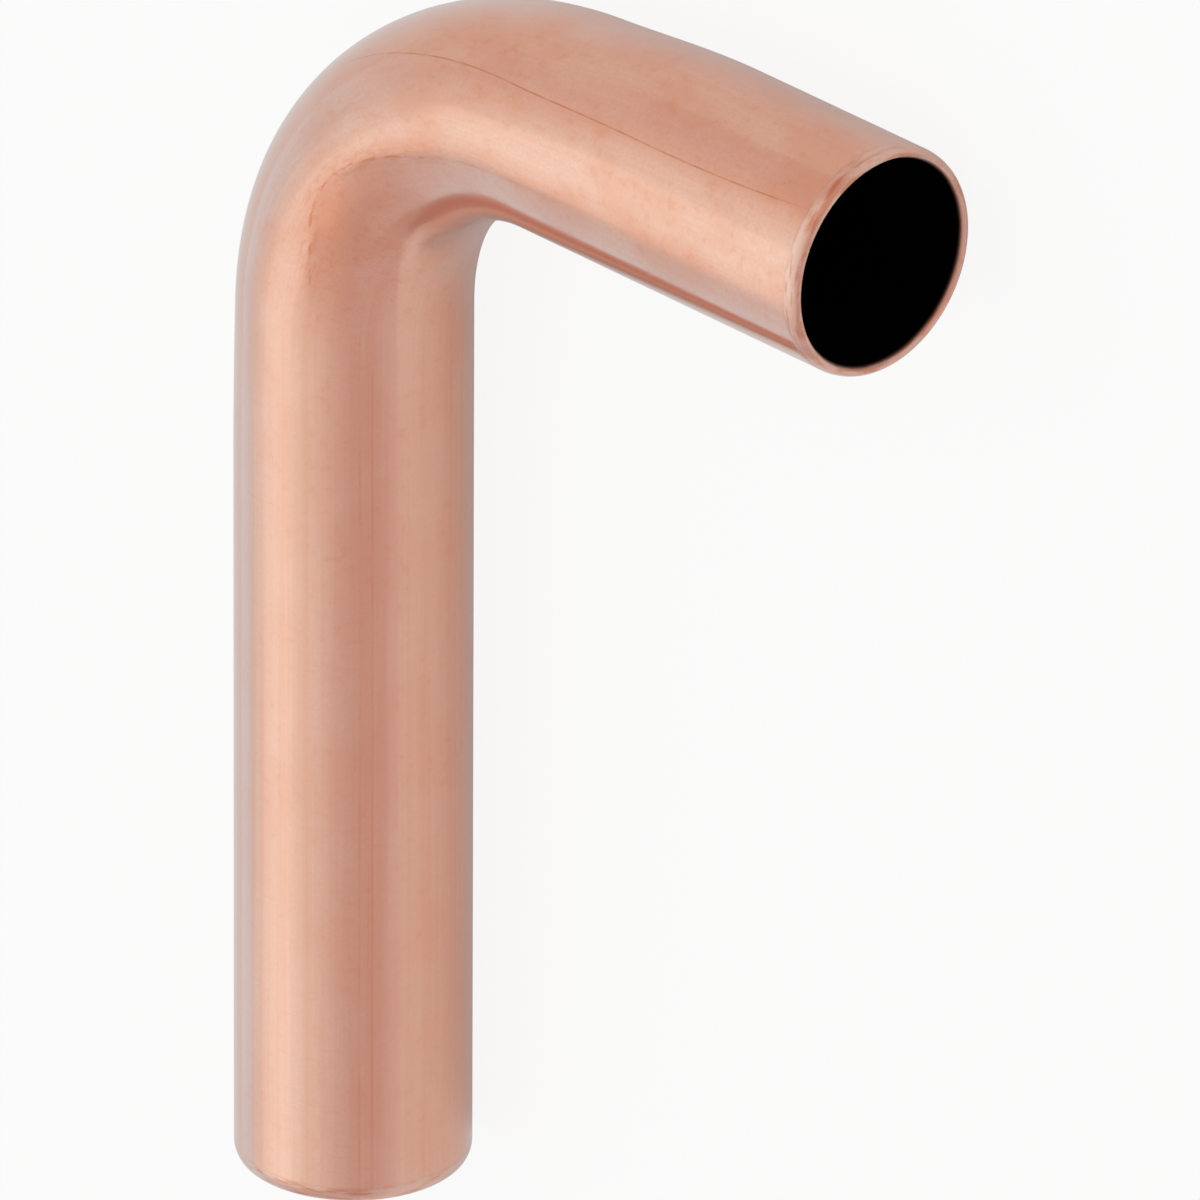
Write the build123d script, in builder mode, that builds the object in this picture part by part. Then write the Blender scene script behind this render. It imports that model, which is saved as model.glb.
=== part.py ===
from build123d import *
from math import pi
import os

# Copper press bend: one drawn copper tube, bent square, with a long leg and a short arm.
# Both ends are plain, so that a press socket slides over either of them.
#
# The bend lies on its side, as it comes to rest. +X runs along the long leg from its free end
# towards the bend, the short arm points to -Y and +Z is up. The origin is on the surface that
# the tube lies on, under the middle of its outline.

# The tube as it is drawn
tube_diameter = 22.0
wall = 1.0

# The bend, on the tube's centre line
bend_radius = 29.0

# The round lengths, from each free end to where the section begins to change
leg_spigot = 72.0
arm_spigot = 22.8

# The straight lengths beside the bend in which the section changes
leg_run_out = 15.4
arm_run_out = 18.0

# What bending does to the section where it is strongest: the outside of the bend is stretched
# flat and thin, and the inside, held by the groove of the bending die, is pushed thick
outer_flattening = 1.9
outer_thinning = 0.18
inner_thickening = 0.25
strongest_share = 0.85  # how far round the bend that is, from the leg's side

# The ends, rolled in by the wheel of the tube cutter and then deburred: a rounded shoulder
# outside, and inside a bore that is drawn in by the height of the burr
shoulder_depth = 0.74
shoulder_length = 1.4
burr_height = 0.17
burr_length = 2.6

# The lofts pass through this many sections after their first
leg_run_out_sections = 4
bend_sections = 12
arm_run_out_sections = 8
bore_sections = 24

# Worked out
tube_radius = tube_diameter / 2
bore_radius = tube_radius - wall
leg_straight = leg_spigot + leg_run_out
arm_straight = arm_spigot + arm_run_out
bend_length = bend_radius * pi / 2
bend_stop = leg_run_out + bend_length
shaped_length = bend_stop + arm_run_out
strongest_at = leg_run_out + strongest_share * bend_length
rim_radius = tube_radius - shoulder_depth
burr_radius = bore_radius - burr_height

# The centre line, level and one tube radius above the surface
leg_end_x = -(leg_straight + bend_radius + tube_radius) / 2
leg_y = (arm_straight + bend_radius - tube_radius) / 2

with BuildLine(Plane.XY.offset(tube_radius)) as centre_line:
    leg_line = Line((leg_end_x, leg_y), (leg_end_x + leg_straight, leg_y))
    bend_line = JernArc(leg_line @ 1, leg_line % 1, bend_radius, -90)
    arm_line = Line(bend_line @ 1, (bend_line @ 1) + (bend_line % 1) * arm_straight)
path = centre_line.wire()
up = Vector(0, 0, 1)


def plane_at(travel):
    """Square to the centre line, this far along the shaped length, x to the outside of the bend."""
    share = (leg_spigot + travel) / path.length
    direction = path % share
    return Plane(path @ share, x_dir=up.cross(direction), z_dir=direction)


def ease(share):
    """Goes smoothly from 0 to 1 as share does."""
    held = min(max(share, 0.0), 1.0)
    return held * held * (3 - 2 * held)


def bending_at(travel):
    """How strongly the section is changed, from 0 to 1, this far along the shaped length."""
    rise = ease(travel / strongest_at)
    fall = ease((shaped_length - travel) / (shaped_length - strongest_at))
    return rise * fall


def draw_section(plane, outer_reach, inner_reach, side_reach):
    """Half an oval to the outside of the bend and half to its inside, joined at the sides."""
    with BuildSketch(plane) as section:
        with BuildLine():
            EllipticalCenterArc((0, 0), outer_reach, side_reach, start_angle=-90, arc_size=180)
            EllipticalCenterArc((0, 0), inner_reach, side_reach, start_angle=90, arc_size=180)
        make_face()
    return section.sketch


def outside_at(travel):
    """The outside of the tube, this far along the shaped length."""
    flattened = tube_radius - outer_flattening * bending_at(travel)
    return draw_section(plane_at(travel), flattened, tube_radius, tube_radius)


def bore_at(travel):
    """The bore there, in a wall thinned on the outside of the bend and thickened on its inside."""
    bending = bending_at(travel)
    flattened = bore_radius - (outer_flattening - outer_thinning) * bending
    thickened = bore_radius - inner_thickening * bending
    return draw_section(plane_at(travel), flattened, thickened, bore_radius)


def sections(draw_at, start, stop, count):
    """Evenly placed sections, from one place on the shaped length to another."""
    return [draw_at(start + (stop - start) * number / count) for number in range(count + 1)]


leg_end = Axis(leg_line @ 0, leg_line % 0)
arm_end = Axis(arm_line @ 1, -(arm_line % 1))

with BuildPart() as bent_tube:
    # The outside of the shaped length, smooth round the bend and ruled in the straight lengths
    # beside it
    loft(sections(outside_at, 0, leg_run_out, leg_run_out_sections), ruled=True)
    loft(sections(outside_at, leg_run_out, bend_stop, bend_sections))
    loft(sections(outside_at, bend_stop, shaped_length, arm_run_out_sections), ruled=True)

    # Its bore
    loft(sections(bore_at, 0, shaped_length, bore_sections), ruled=True, mode=Mode.SUBTRACT)

    # The spigots, turned about their own centre lines, each with its cut end
    for inward, spigot in ((leg_end, leg_spigot), (arm_end, arm_spigot)):
        with BuildSketch(Plane(inward.position, inward.direction, inward.direction.cross(up))):
            with BuildLine():
                shoulder = EllipticalCenterArc(
                    (shoulder_length, rim_radius),
                    shoulder_length,
                    shoulder_depth,
                    start_angle=90,
                    arc_size=90,
                )
                Polyline(
                    shoulder @ 1,
                    (0, burr_radius),
                    (burr_length, bore_radius),
                    (spigot, bore_radius),
                    (spigot, tube_radius),
                    shoulder @ 0,
                )
            make_face()
        revolve(axis=inward)

bent_tube.part.label = "bent_tube"
os.makedirs("parts", exist_ok=True)
export_step(bent_tube.part, "parts/bent_tube.step")

print("centre to end", leg_straight + bend_radius, arm_straight + bend_radius)
print("mass at 8.94 g a cubic centimetre", round(bent_tube.part.volume * 8.94e-6, 5), "kg")
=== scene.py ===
from math import cos, pi, radians, sin

import bmesh
import bpy
from mathutils import Matrix, Vector


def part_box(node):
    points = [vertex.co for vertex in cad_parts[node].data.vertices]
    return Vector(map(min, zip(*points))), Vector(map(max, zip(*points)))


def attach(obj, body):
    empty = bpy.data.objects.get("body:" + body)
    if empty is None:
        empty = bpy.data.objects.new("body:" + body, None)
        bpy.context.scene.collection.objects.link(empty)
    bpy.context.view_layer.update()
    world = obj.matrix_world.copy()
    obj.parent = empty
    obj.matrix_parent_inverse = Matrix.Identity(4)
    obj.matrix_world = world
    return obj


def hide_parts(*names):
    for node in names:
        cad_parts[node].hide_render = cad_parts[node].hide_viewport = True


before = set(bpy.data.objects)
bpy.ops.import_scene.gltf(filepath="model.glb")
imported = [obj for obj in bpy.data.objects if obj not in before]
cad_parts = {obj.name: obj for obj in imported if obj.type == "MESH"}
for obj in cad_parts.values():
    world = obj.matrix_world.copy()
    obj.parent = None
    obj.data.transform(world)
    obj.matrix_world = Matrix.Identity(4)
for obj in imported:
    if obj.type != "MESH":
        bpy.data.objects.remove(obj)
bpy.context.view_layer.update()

MM = 0.001
low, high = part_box("bent_tube")

# Sizes of the bend, in metres. The outline comes from the part's box in model.glb, the rest is the
# part's own.
tube_radius = (high.z - low.z) / 2
wall = 1.0 * MM
bend_radius = 29.0 * MM
leg_axis_y = high.y - tube_radius
arm_axis_x = high.x - tube_radius
leg_length = arm_axis_x - bend_radius - low.x
arm_length = leg_axis_y - bend_radius - low.y
bend_length = bend_radius * pi / 2
tube_length = leg_length + bend_length + arm_length

tube_sizes = {
    "Tube Radius": tube_radius,
    "Wall": wall,
    "Bend Radius": bend_radius,
    "Leg End": low.x,
    "Leg Axis": leg_axis_y,
    "Leg Length": leg_length,
    "Bend Length": bend_length,
    "Arm Length": arm_length,
    "Leg Run Out": 15.4 * MM,
    "Arm Run Out": 18.0 * MM,
    "Strongest Share": 0.85,
    "Outer Flattening": 1.9 * MM,
    "Outer Thinning": 0.18 * MM,
    "Inner Thickening": 0.25 * MM,
    "Shoulder Depth": 0.74 * MM,
    "Shoulder Length": 1.4 * MM,
    "Burr Height": 0.17 * MM,
    "Burr Depth": 0.5 * MM,
    "Burr Length": 2.6 * MM,
    "Crowding To Ends": 0.6,
}
steps_along_outside = 420
steps_along_bore = 90
steps_around = 176


# Sums that become nodes
class Term:
    """A number that a node tree works out. Sums written with it become nodes of that tree."""

    def __init__(self, tree, socket):
        self.tree, self.socket = tree, socket

    def __add__(self, other): return worked_out("ADD", self, other)
    def __radd__(self, other): return worked_out("ADD", other, self)
    def __sub__(self, other): return worked_out("SUBTRACT", self, other)
    def __rsub__(self, other): return worked_out("SUBTRACT", other, self)
    def __mul__(self, other): return worked_out("MULTIPLY", self, other)
    def __rmul__(self, other): return worked_out("MULTIPLY", other, self)
    def __truediv__(self, other): return worked_out("DIVIDE", self, other)
    def __rtruediv__(self, other): return worked_out("DIVIDE", other, self)


def feed(tree, value, socket):
    """Links a term or a socket to a node's input, or sets the input to a plain value."""
    if isinstance(value, Term):
        value = value.socket
    if isinstance(value, bpy.types.NodeSocket):
        tree.links.new(value, socket)
    else:
        socket.default_value = value


def node(tree, kind, inputs=None, **settings):
    """A new node with its settings made and its inputs fed."""
    made = tree.nodes.new(kind)
    for name, value in settings.items():
        setattr(made, name, value)
    for name, value in (inputs or {}).items():
        feed(tree, value, made.inputs[name])
    return made


def worked_out(operation, *values):
    tree = next(value.tree for value in values if isinstance(value, Term))
    made = node(tree, "ShaderNodeMath", dict(enumerate(values)), operation=operation)
    return Term(tree, made.outputs[0])


def eased(value, start, stop, first=0.0, last=1.0):
    """Goes smoothly from first to last as value goes from start to stop."""
    made = node(value.tree, "ShaderNodeMapRange", interpolation_type="SMOOTHSTEP")
    for socket, given in zip(made.inputs, (value, start, stop, first, last)):
        feed(value.tree, given, socket)
    return Term(value.tree, made.outputs[0])


def least(a, b): return worked_out("MINIMUM", a, b)
def most(a, b): return worked_out("MAXIMUM", a, b)
def sine(a): return worked_out("SINE", a)
def cosine(a): return worked_out("COSINE", a)
def size_of(a): return worked_out("ABSOLUTE", a)


def parts_of(tree, vector):
    made = node(tree, "ShaderNodeSeparateXYZ", {0: vector})
    return [Term(tree, socket) for socket in made.outputs]


def vector_of(tree, x, y, z):
    return node(tree, "ShaderNodeCombineXYZ", {0: x, 1: y, 2: z}).outputs[0]


def degrees_on(course, tree, travel):
    """Degrees round the tube on a course of (millimetres from the leg's end, degrees) points."""
    curve = tree.nodes.new("ShaderNodeFloatCurve")
    points = curve.mapping.curves[0].points
    places = [(at * MM / tube_length, turned / 360) for at, turned in course]
    for place, share in places[1:-1]:
        points.new(place, share)
    points[0].location, points[-1].location = places[0], places[-1]
    for place, point in zip(places, points):
        point.location = place
    curve.mapping.update()
    feed(tree, travel / tube_length, curve.inputs["Value"])
    return Term(tree, curve.outputs[0]) * 360.0


def bump_of(value, middle, half_width):
    """A smooth hump of height 1 over middle, back to 0 half_width to either side."""
    return eased(size_of(value - middle), 0.0, half_width, 1.0, 0.0)


# The bent tube: a rule that places each point of a drawn tube after it is cut and bent
def tube_rule(copper):
    tree = bpy.data.node_groups.new("bent_tube_rule", "GeometryNodeTree")
    made_of = tree.interface
    made_of.new_socket("Geometry", in_out="OUTPUT", socket_type="NodeSocketGeometry")
    for name, value in tube_sizes.items():
        made_of.new_socket(name, in_out="INPUT", socket_type="NodeSocketFloat").default_value = value
    for name in ("Steps Along Outside", "Steps Along Bore", "Steps Around"):
        made_of.new_socket(name, in_out="INPUT", socket_type="NodeSocketInt")
    entry = tree.nodes.new("NodeGroupInput")
    given = {socket.name: Term(tree, socket) for socket in entry.outputs if socket.name}

    radius = given["Tube Radius"]
    bore_radius = radius - given["Wall"]
    rim_radius = radius - given["Shoulder Depth"]
    burr_radius = bore_radius - given["Burr Height"]
    whole = given["Leg Length"] + given["Bend Length"] + given["Arm Length"]

    # How strongly bending changes the section, from 0 to 1
    change_start = given["Leg Length"] - given["Leg Run Out"]
    change_stop = given["Leg Length"] + given["Bend Length"] + given["Arm Run Out"]
    strongest = given["Leg Length"] + given["Strongest Share"] * given["Bend Length"]

    def bending_at(travel):
        rise = eased(travel, change_start, strongest)
        fall = eased(travel, strongest, change_stop, 1.0, 0.0)
        return rise * fall

    def surface(steps_along, rolled_length, shape):
        """A grid whose x runs along the tube and whose y runs round it, placed by the rule."""
        grid = node(tree, "GeometryNodeMeshGrid", {
            "Size X": 1.0, "Size Y": 1.0,
            "Vertices X": steps_along, "Vertices Y": given["Steps Around"] + 1.0,
        })
        place = node(tree, "GeometryNodeInputPosition")
        across, around, _ = parts_of(tree, place.outputs[0])
        share = across + 0.5
        angle = (around + 0.5) * (2 * pi)
        crowding = given["Crowding To Ends"] / (2 * pi) * sine(share * (2 * pi))
        unrolled = (share - crowding) * whole
        # Distance from the nearest end, which the rounded rim shortens, and travel from the leg's
        gap = least(unrolled, whole - unrolled)
        roll = least(gap / rolled_length, 1.0) * (pi / 2)
        inward = most(gap, rolled_length) - rolled_length * cosine(roll)
        from_leg = worked_out("LESS_THAN", share, 0.5)
        travel = from_leg * inward + (1.0 - from_leg) * (whole - inward)
        bending = bending_at(travel)
        outer, inner, side, depth = shape(roll, inward, bending)

        outwards = 0.0 - cosine(angle)
        upwards = 0.0 - sine(angle)
        on_outside = worked_out("GREATER_THAN", outwards, 0.0)
        reach = on_outside * outer + (1.0 - on_outside) * inner
        relief = 0.0
        if depth is None:
            relief = surface_relief(tree, travel, angle, radius)
            relief = relief * eased(inward, relief_starts, relief_whole)
        sideways = outwards * (reach + relief)
        raised = upwards * (side + relief)

        turned = least(most((travel - given["Leg Length"]) / given["Bend Radius"], 0.0), pi / 2)
        before = least(travel - given["Leg Length"], 0.0)
        after = most(travel - given["Leg Length"] - given["Bend Length"], 0.0)
        arm_out = given["Bend Radius"] + sideways
        x = given["Leg End"] + given["Leg Length"] + before + arm_out * sine(turned)
        y = given["Leg Axis"] - given["Bend Radius"] - after + arm_out * cosine(turned)
        z = radius + raised

        straight = vector_of(tree, travel, outwards * radius, upwards * radius)
        mesh = grid.outputs["Mesh"]
        for name, value, kind, domain in (
            ("straight_place", straight, "FLOAT_VECTOR", "POINT"),
            ("bore_depth", inward if depth is not None else 0.0, "FLOAT", "POINT"),
            ("end_gap", inward, "FLOAT", "POINT"),
        ):
            store = node(tree, "GeometryNodeStoreNamedAttribute",
                         {"Geometry": mesh, "Name": name}, data_type=kind, domain=domain)
            feed(tree, value, store.inputs["Value"])
            mesh = store.outputs[0]
        store = node(tree, "GeometryNodeStoreNamedAttribute", {"Geometry": mesh, "Name": "UVMap"},
                     data_type="FLOAT2", domain="CORNER")
        u, v, _ = parts_of(tree, grid.outputs["UV Map"])
        feed(tree, vector_of(tree, v, u, 0.0), store.inputs["Value"])
        moved = node(tree, "GeometryNodeSetPosition",
                     {"Geometry": store.outputs[0], "Position": vector_of(tree, x, y, z)})
        return moved.outputs[0]

    def outside_shape(roll, inward, bending):
        rolled_in = given["Shoulder Depth"] * (1.0 - sine(roll))
        round_reach = radius - rolled_in
        flattened = round_reach - given["Outer Flattening"] * bending
        return flattened, round_reach, round_reach, None

    def bore_shape(roll, inward, bending):
        edge = rim_radius - (rim_radius - burr_radius) * sine(roll)
        fade = eased(inward, given["Burr Depth"], given["Burr Length"])
        round_reach = edge + fade * given["Burr Height"]
        moved_in = (given["Outer Flattening"] - given["Outer Thinning"]) * bending
        thickened = given["Inner Thickening"] * bending
        return round_reach - moved_in, round_reach - thickened, round_reach, inward

    outside = surface(given["Steps Along Outside"], given["Shoulder Length"], outside_shape)
    bore = surface(given["Steps Along Bore"], given["Burr Depth"], bore_shape)
    joined = node(tree, "GeometryNodeJoinGeometry")
    tree.links.new(outside, joined.inputs[0])
    tree.links.new(bore, joined.inputs[0])
    merged = node(tree, "GeometryNodeMergeByDistance",
                  {"Geometry": joined.outputs[0], "Distance": 0.002 * MM})
    smooth = node(tree, "GeometryNodeSetShadeSmooth", {"Geometry": merged.outputs[0]})
    realized = node(tree, "GeometryNodeRealizeInstances", {"Geometry": smooth.outputs[0]})
    finished = node(tree, "GeometryNodeSetMaterial",
                    {"Geometry": realized.outputs[0], "Material": copper})
    leave = tree.nodes.new("NodeGroupOutput")
    tree.links.new(finished.outputs[0], leave.inputs[0])
    return tree


def surface_relief(tree, travel, angle, radius):
    """How far the skin lies off the smooth tube, in metres: handling waves and marks of bending."""
    place = vector_of(tree, travel, radius * cosine(angle), radius * sine(angle))
    waves = node(tree, "ShaderNodeTexNoise", {"Vector": place, "Scale": waves_a_metre, "Detail": 1.0})
    relief = (Term(tree, waves.outputs[0]) - highest_wave) * wave_height

    # The crease where the halves of the die met: beyond it the surface falls away
    beyond = angle * radius - degrees_on(crease_course, tree, travel) * (pi / 180) * radius
    near = least(most(beyond / crease_fall, 0.0), 1.0)
    fall = near * (2.0 - near) * eased(beyond, crease_fall, crease_end, 1.0, 0.0)
    crease = eased(travel, 88.0 * MM, 100.0 * MM) * eased(travel, 126.0 * MM, 158.0 * MM, 1.0, 0.0)
    relief = relief - fall * crease * crease_depth

    # Each mark: where along the tube, where round it, its half sizes and its height
    for along, turn, half_along, half_round, height in marks:
        shape = bump_of(travel, along, half_along)
        shape = shape * bump_of(angle * radius, radians(turn) * tube_radius, half_round)
        relief = relief + shape * height
    return relief


# Waves left by handling. No wave rises above the smooth tube.
waves_a_metre = 60.0
wave_height = 0.02 * MM
highest_wave = 0.8

# The relief fades out towards the cut ends, between these distances from them
relief_starts = 0.3 * MM
relief_whole = 2.5 * MM

# The crease: millimetres from the leg's end, and degrees round the tube
crease_course = (
    (0.0, 296.0), (92.0, 294.0), (96.5, 291.0), (101.0, 284.5), (105.0, 277.5), (109.0, 275.0),
    (113.0, 276.0), (118.0, 279.0), (124.0, 281.0), (130.0, 280.0), (138.0, 277.5), (173.7, 276.0),
)
crease_depth = 0.17 * MM
# How far beyond its edge the crease is deepest, and where it has run out
crease_fall = 2.5 * MM
crease_end = 9.0 * MM

# Small folds and hollows in the throat of the bend
marks = (
    (112.7 * MM, 310.0, 3.0 * MM, 2.5 * MM, 0.04 * MM),
    (112.5 * MM, 328.5, 3.5 * MM, 1.6 * MM, -0.07 * MM),
    (116.7 * MM, 342.0, 4.0 * MM, 1.5 * MM, 0.07 * MM),
    (109.5 * MM, 338.0, 3.0 * MM, 1.2 * MM, 0.05 * MM),
    (106.5 * MM, 346.0, 3.5 * MM, 1.6 * MM, -0.06 * MM),
    (120.0 * MM, 352.0, 5.0 * MM, 1.4 * MM, -0.05 * MM),
    (125.8 * MM, 328.5, 4.5 * MM, 1.6 * MM, 0.04 * MM),
)


def built_by(tree, name, values):
    """An object whose plain mesh is what the tree makes from these values."""
    piece = bpy.data.objects.new(name, bpy.data.meshes.new(name))
    bpy.context.scene.collection.objects.link(piece)
    modifier = piece.modifiers.new(name, "NODES")
    modifier.node_group = tree
    for socket in tree.interface.items_tree:
        if socket.in_out == "INPUT":
            modifier[socket.identifier] = values[socket.name]
    evaluated = piece.evaluated_get(bpy.context.evaluated_depsgraph_get())
    mesh = bpy.data.meshes.new_from_object(evaluated)
    piece.modifiers.clear()
    piece.data = mesh
    mesh.name = name
    shape = bmesh.new()
    shape.from_mesh(mesh)
    bmesh.ops.recalc_face_normals(shape, faces=shape.faces)
    shape.to_mesh(mesh)
    shape.free()
    return piece


# Materials
def drawn_copper():
    """Satin copper as it leaves the drawing bench and the bender, in the straight tube's own places.

    Every pattern reads straight_place, where a point was before the tube was bent: x along the
    tube from the leg's end, y and z across it. So lines follow the tube round the bend."""
    material = bpy.data.materials.new("drawn_copper")
    material.use_nodes = True
    tree = material.node_tree
    tree.nodes.clear()
    leave = tree.nodes.new("ShaderNodeOutputMaterial")
    shader = node(tree, "ShaderNodeBsdfPrincipled")
    tree.links.new(shader.outputs[0], leave.inputs[0])
    shader.inputs["Metallic"].default_value = 1.0
    shader.inputs["Anisotropic"].default_value = 0.5

    def attribute(name):
        return node(tree, "ShaderNodeAttribute", attribute_name=name)

    straight = attribute("straight_place").outputs["Vector"]
    travel, outwards, upwards = parts_of(tree, straight)
    depth = Term(tree, attribute("bore_depth").outputs["Fac"])
    gap = Term(tree, attribute("end_gap").outputs["Fac"])
    # Degrees round the tube: 0 inside the bend, 90 underneath, 180 outside and 270 on top
    turn = worked_out("ARCTAN2", upwards, outwards) * (180 / pi) + 180.0
    mm_a_degree = tube_radius * 2 * pi / 360

    def noise(size, along=1.0, round_it=1.0, detail=2.0, start=0.0):
        """Noise on the straight tube with features of that size, drawn out along or round it."""
        mapped = node(tree, "ShaderNodeMapping", {0: straight})
        mapped.inputs["Location"].default_value = (start, 0.0, 0.0)
        mapped.inputs["Scale"].default_value = (1 / along, 1 / round_it, 1 / round_it)
        made = node(tree, "ShaderNodeTexNoise",
                    {"Vector": mapped.outputs[0], "Scale": 1 / size, "Detail": detail})
        return Term(tree, made.outputs[0])

    def line_at(course, half_width):
        """A line along the tube: 1 on its course, in degrees round it, and 0 half_width away."""
        return eased(size_of(turn - course) * mm_a_degree, half_width * 0.3, half_width, 1.0, 0.0)

    def mixed(factor, first, second):
        made = node(tree, "ShaderNodeMix", data_type="RGBA")
        for number, value in ((0, factor), (6, first), (7, second)):
            feed(tree, value, made.inputs[number])
        return made.outputs[2]

    drawing_lines = noise(0.35 * MM, along=90.0, detail=3.0)
    broad_lines = noise(1.6 * MM, along=60.0, start=0.3)
    grain = noise(0.3 * MM, detail=2.0, start=0.5)
    flecks = noise(1.1 * MM, detail=4.0, start=0.9)
    scuffs = noise(0.7 * MM, round_it=5.0, detail=3.0, start=1.7)
    patches = noise(6.0 * MM, along=1.5, detail=3.0, start=2.3)
    clouds = noise(16.0 * MM, along=1.5, start=3.1)

    plain = (0.875, 0.525, 0.40, 1.0)
    warm = (0.82, 0.39, 0.25, 1.0)
    pale = (0.90, 0.57, 0.45, 1.0)
    burnt = (0.66, 0.23, 0.11, 1.0)
    grey = (0.80, 0.71, 0.68, 1.0)
    painted_shade_black = (0.004, 0.002, 0.0015, 1.0)

    # Bending roughened the skin, so that it is more mottled from the bend on
    bent = eased(travel, 84.0 * MM, 106.0 * MM)
    colour = mixed(eased(clouds, 0.40, 0.65) * 0.5, plain, pale)
    colour = mixed(eased(broad_lines, 0.45, 0.75) * (0.30 - bent * 0.15), colour, warm)
    colour = mixed(eased(patches, 0.40, 0.64) * (0.22 + bent * 0.30), colour, warm)
    fleck_share = eased(flecks, 0.53, 0.70) * (0.25 + 0.75 * eased(patches, 0.35, 0.65))
    colour = mixed(fleck_share * (0.28 + bent * 0.52), colour, warm)
    colour = mixed(eased(scuffs, 0.56, 0.76) * eased(clouds, 0.35, 0.6) * 0.22, colour, warm)
    colour = mixed(eased(grain, 0.38, 0.62) * (0.12 + bent * 0.14), colour, warm)
    colour = mixed(eased(drawing_lines, 0.42, 0.62) * 0.14, colour, warm)

    # Orange rubs beside the crease, and a painted reflection: a deeper orange strip from the throat
    # along the arm, where the leg mirrors in the arm
    crease_turn = degrees_on(crease_course, tree, travel)
    along_crease = eased(travel, 90.0 * MM, 102.0 * MM) * eased(travel, 112.0 * MM, 150.0 * MM, 1.0, 0.0)
    rubs = noise(0.5 * MM, along=4.0, detail=3.0, start=6.1)
    broken = 0.2 + 0.8 * eased(rubs, 0.46, 0.60)
    colour = mixed(line_at(crease_turn - 1.0, 1.6 * MM) * along_crease * broken * 0.30, colour, burnt)
    colour = mixed(line_at(crease_turn, 0.22 * MM) * along_crease * broken * 0.55, colour, burnt)
    # Painted reflection of the leg in the arm: the copper is tinted deep orange along this course
    under = degrees_on(painted_reflection_course, tree, travel)
    painted_reflection_strip = line_at(under, 1.5 * MM) * eased(travel, 104.0 * MM, 114.0 * MM)
    colour = mixed(painted_reflection_strip * 0.45, colour, burnt)

    # A scratch that runs over the bend and along the arm to its mouth
    followed = degrees_on(scratch_course, tree, travel)
    strength = eased(travel, 100.0 * MM, 120.0 * MM) * eased(travel, 166.0 * MM, 172.0 * MM, 1.0, 0.15)
    scratch = line_at(followed, 0.125 * MM) * strength
    scratch = scratch * (0.55 + 0.45 * eased(noise(2.5 * MM, start=4.1), 0.40, 0.55))
    colour = mixed(scratch * 0.75, colour, burnt)

    # Two drawing lines down the leg
    for line_turn, shown in leg_lines:
        line = line_at(line_turn + (broad_lines - 0.5) * 1.2, 0.16 * MM)
        line = line * eased(travel, 84.0 * MM, 98.0 * MM, 1.0, 0.0)
        line = line * (0.35 + 0.65 * eased(noise(7.0 * MM, start=5.3 + shown), 0.4, 0.6))
        colour = mixed(line * shown, colour, warm)

    # The rolled shoulder of each end is duller, with broken rings left by the cutter's wheel
    shoulder = eased(gap, 1.2 * MM, 1.9 * MM, 1.0, 0.0)
    colour = mixed(shoulder * 0.30, colour, grey)
    rings = node(tree, "ShaderNodeTexNoise", {"Scale": 1.0, "Detail": 3.0})
    ring_place = vector_of(tree, gap / (0.45 * MM), outwards / (3.0 * MM), upwards / (3.0 * MM))
    feed(tree, ring_place, rings.inputs["Vector"])
    ringed = eased(Term(tree, rings.outputs[0]), 0.46, 0.68) * shoulder
    ringed = most(ringed, bump_of(gap, 1.5 * MM, 0.3 * MM) * 0.4 * eased(flecks, 0.35, 0.6))
    colour = mixed(ringed * 0.65, colour, burnt)

    # Painted sheen: the colour turns grey where the skin turns away, standing in for the pale reflection
    # at grazing angles
    grazing = node(tree, "ShaderNodeLayerWeight", {"Blend": 0.5}).outputs["Facing"]
    painted_edge_sheen = eased(Term(tree, grazing), 0.42, 0.95) * 0.75
    colour = mixed(painted_edge_sheen, colour, grey)

    # Painted shade: the bore's colour goes to black from just inside the mouth, standing in for the
    # shade deep in the tube, and its roughness rises with it
    painted_bore_shade = eased(depth, 0.15 * MM, 0.75 * MM)
    colour = mixed(painted_bore_shade, colour, painted_shade_black)
    tree.links.new(colour, shader.inputs["Base Color"])

    roughness = 0.13 + (patches - 0.5) * 0.08 + (drawing_lines - 0.5) * 0.05
    roughness = roughness + fleck_share * 0.05 + shoulder * 0.12
    feed(tree, roughness + painted_bore_shade * 0.87, shader.inputs["Roughness"])

    tangent = node(tree, "ShaderNodeTangent", direction_type="UV_MAP", uv_map="UVMap")
    tree.links.new(tangent.outputs[0], shader.inputs["Tangent"])

    height = drawing_lines * 0.6 + flecks * 0.5 + scuffs * 0.4 + broad_lines * 1.2
    height = height - scratch * 1.5 - ringed * 2.0
    bump = node(tree, "ShaderNodeBump", {"Strength": 0.35, "Distance": 0.012 * MM, "Height": height})
    tree.links.new(bump.outputs[0], shader.inputs["Normal"])
    return material


# Courses along the tube: millimetres from the leg's end, and degrees round the tube
# Where the painted reflection of the leg runs along the arm
painted_reflection_course = (
    (0.0, 318.0), (108.0, 318.0), (116.0, 316.0), (125.0, 312.0), (132.0, 308.0), (145.0, 305.0),
    (173.7, 304.0),
)
scratch_course = (
    (0.0, 205.0), (111.6, 216.5), (124.2, 224.0), (139.8, 229.5), (158.4, 230.5), (173.7, 225.5),
)
# Each drawing line of the leg: degrees round the tube, and how strongly it shows
leg_lines = ((320.0, 0.55), (326.0, 0.65))


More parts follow.
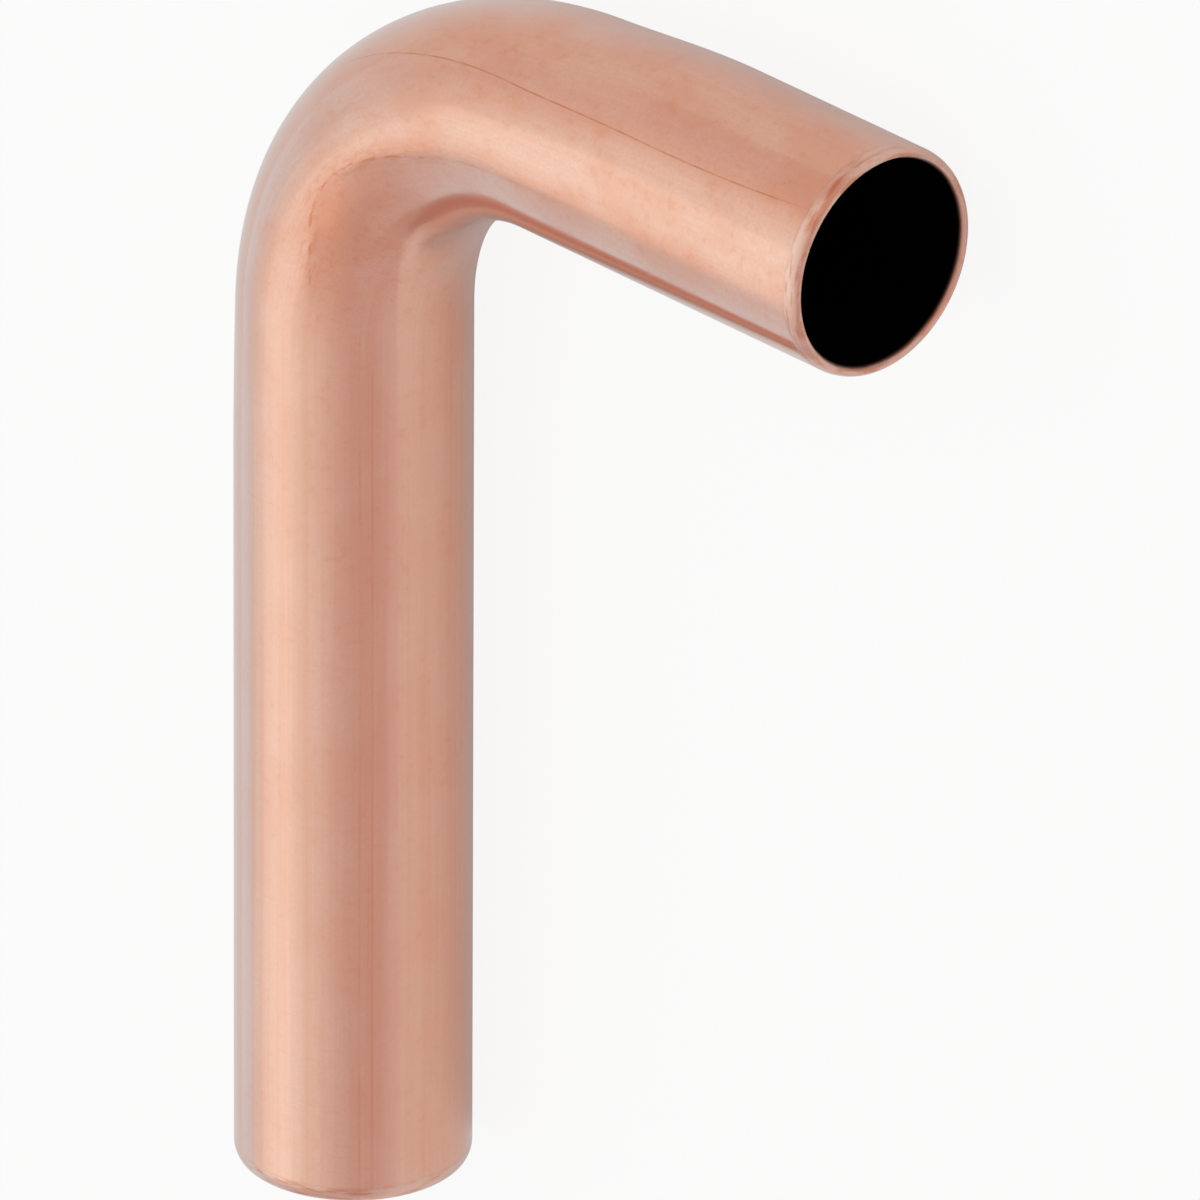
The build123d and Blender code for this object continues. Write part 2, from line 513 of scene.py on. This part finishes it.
def plain_floor():
    """A pale floor that stays near white in the picture and keeps the tube's shadow."""
    material = bpy.data.materials.new("pale_floor")
    material.use_nodes = True
    tree = material.node_tree
    tree.nodes.clear()
    leave = tree.nodes.new("ShaderNodeOutputMaterial")
    lit = node(tree, "ShaderNodeBsdfDiffuse", {"Color": (0.85, 0.85, 0.85, 1.0)})
    white = node(tree, "ShaderNodeEmission", {"Color": (1.0, 1.0, 1.0, 1.0), "Strength": 1.0})
    rays = node(tree, "ShaderNodeLightPath")
    seen = Term(tree, rays.outputs["Is Camera Ray"])
    mirrored = Term(tree, rays.outputs["Is Glossy Ray"])
    through = Term(tree, rays.outputs["Is Transmission Ray"])
    # How white the floor is made for the camera, and for what mirrors in the copper
    share = least(seen * 0.90 + mirrored * 0.20 + through * 0.90, 1.0)
    both = node(tree, "ShaderNodeMixShader")
    feed(tree, share, both.inputs[0])
    tree.links.new(lit.outputs[0], both.inputs[1])
    tree.links.new(white.outputs[0], both.inputs[2])
    tree.links.new(both.outputs[0], leave.inputs[0])
    return material


# The piece
copper = drawn_copper()
tube_values = dict(tube_sizes)
tube_values["Steps Along Outside"] = steps_along_outside
tube_values["Steps Along Bore"] = steps_along_bore
tube_values["Steps Around"] = steps_around
tube = built_by(tube_rule(copper), "bent_copper_tube", tube_values)
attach(tube, "root")
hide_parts("bent_tube")

# Floor, light and camera
floor_reach = 12.0
floor_mesh = bpy.data.meshes.new("floor")
floor_mesh.from_pydata(
    [(x * floor_reach, y * floor_reach, low.z) for x, y in ((-1, -1), (1, -1), (1, 1), (-1, 1))],
    [], [(0, 1, 2, 3)],
)
floor = bpy.data.objects.new("floor", floor_mesh)
floor_mesh.materials.append(plain_floor())
bpy.context.scene.collection.objects.link(floor)


def softbox(name, place, size, radiance):
    """A flat lamp of even brightness that faces straight down. A radiance of 1 looks white."""
    lamp = bpy.data.lights.new(name, "AREA")
    lamp.shape = "RECTANGLE"
    lamp.size, lamp.size_y = size
    lamp.energy = radiance * pi * size[0] * size[1]
    held = bpy.data.objects.new(name, lamp)
    held.location = place
    held.rotation_euler = Vector((0.0, 0.0, -1.0)).to_track_quat("-Z", "Y").to_euler()
    bpy.context.scene.collection.objects.link(held)


softbox("overhead_softbox", (-0.4, 0.75, 1.0), (1.3, 0.9), 0.10)

# What each part of the room adds to the light, red, green and blue: the wall, the panel overhead,
# the glow round its middle, and the left, front and rear of the tent
room_light = (
    (0.623, 0.221, 0.540, -0.001, 0.072, 0.122),
    (0.527, 0.171, 1.120, -0.143, 0.102, 0.331),
    (0.524, 0.084, 1.340, -0.228, 0.137, 0.435),
)


def studio_room():
    """A light tent: a warm wall, a panel overhead with soft edges, and a white background."""
    world = bpy.data.worlds.new("studio_room")
    world.use_nodes = True
    tree = world.node_tree
    tree.nodes.clear()
    direction = node(tree, "ShaderNodeTexCoord").outputs["Generated"]
    x, y, z = parts_of(tree, direction)
    height = most(z, 0.02)
    # Where each direction meets a ceiling one metre up
    along, across = x / height, y / height
    panel = eased(along, -1.62, -0.81) * eased(along, -3.22, 3.26, 1.0, 0.0)
    panel = panel * eased(across, -1.03, 0.45) * eased(across, 1.04, 2.66, 1.0, 0.0)
    glow = eased(along, -1.04, -0.38) * eased(along, 1.72, 2.40, 1.0, 0.0)
    glow = glow * eased(across, -1.33, 2.4) * eased(across, 0.10, 1.36, 1.0, 0.0) * eased(z, 0.0, 0.2)
    left = eased(x, -0.45, 0.75)
    front = eased(0.0 - y, 0.3, 0.9) * eased(size_of(z), 0.0, 0.35, 1.0, 0.0)
    rear = eased(y, 0.2, 0.9)
    colour = vector_of(tree, *(
        wall + panel * by_panel + glow * by_glow + left * by_left + front * by_front + rear * by_rear
        for wall, by_panel, by_glow, by_left, by_front, by_rear in room_light
    ))
    rays = node(tree, "ShaderNodeLightPath")
    seen = Term(tree, rays.outputs["Is Camera Ray"])
    through = Term(tree, rays.outputs["Is Transmission Ray"])
    choice = node(tree, "ShaderNodeMix", data_type="RGBA")
    feed(tree, least(seen + through, 1.0), choice.inputs[0])
    feed(tree, colour, choice.inputs[6])
    feed(tree, (1.0, 1.0, 1.0, 1.0), choice.inputs[7])
    background = node(tree, "ShaderNodeBackground", {"Color": choice.outputs[2], "Strength": 1.0})
    leave = tree.nodes.new("ShaderNodeOutputWorld")
    tree.links.new(background.outputs[0], leave.inputs[0])
    return world


bpy.context.scene.world = studio_room()

# The camera stands where the photograph was taken from and is rolled so that the leg hangs down
camera_azimuth = radians(34.868)
camera_elevation = radians(37.7416)
camera_roll = radians(-112.8636)
camera_distance = 3.4675
camera_aim = Vector((0.005236, -0.003485, 0.011))
focal_px = 38163.5
photo_px = 1200

lens = bpy.data.cameras.new("camera")
lens.sensor_width = 36.0
lens.lens = focal_px * lens.sensor_width / photo_px
lens.clip_start, lens.clip_end = 0.1, 100.0
camera = bpy.data.objects.new("camera", lens)
bpy.context.scene.collection.objects.link(camera)
bpy.context.scene.camera = camera
back = Vector((
    sin(camera_azimuth) * cos(camera_elevation),
    -cos(camera_azimuth) * cos(camera_elevation),
    sin(camera_elevation),
))
turn = back.to_track_quat("Z", "Y").to_matrix() @ Matrix.Rotation(camera_roll, 3, "Z")
camera.matrix_world = Matrix.Translation(camera_aim + back * camera_distance) @ turn.to_4x4()

scene = bpy.context.scene
scene.view_settings.view_transform = "Standard"
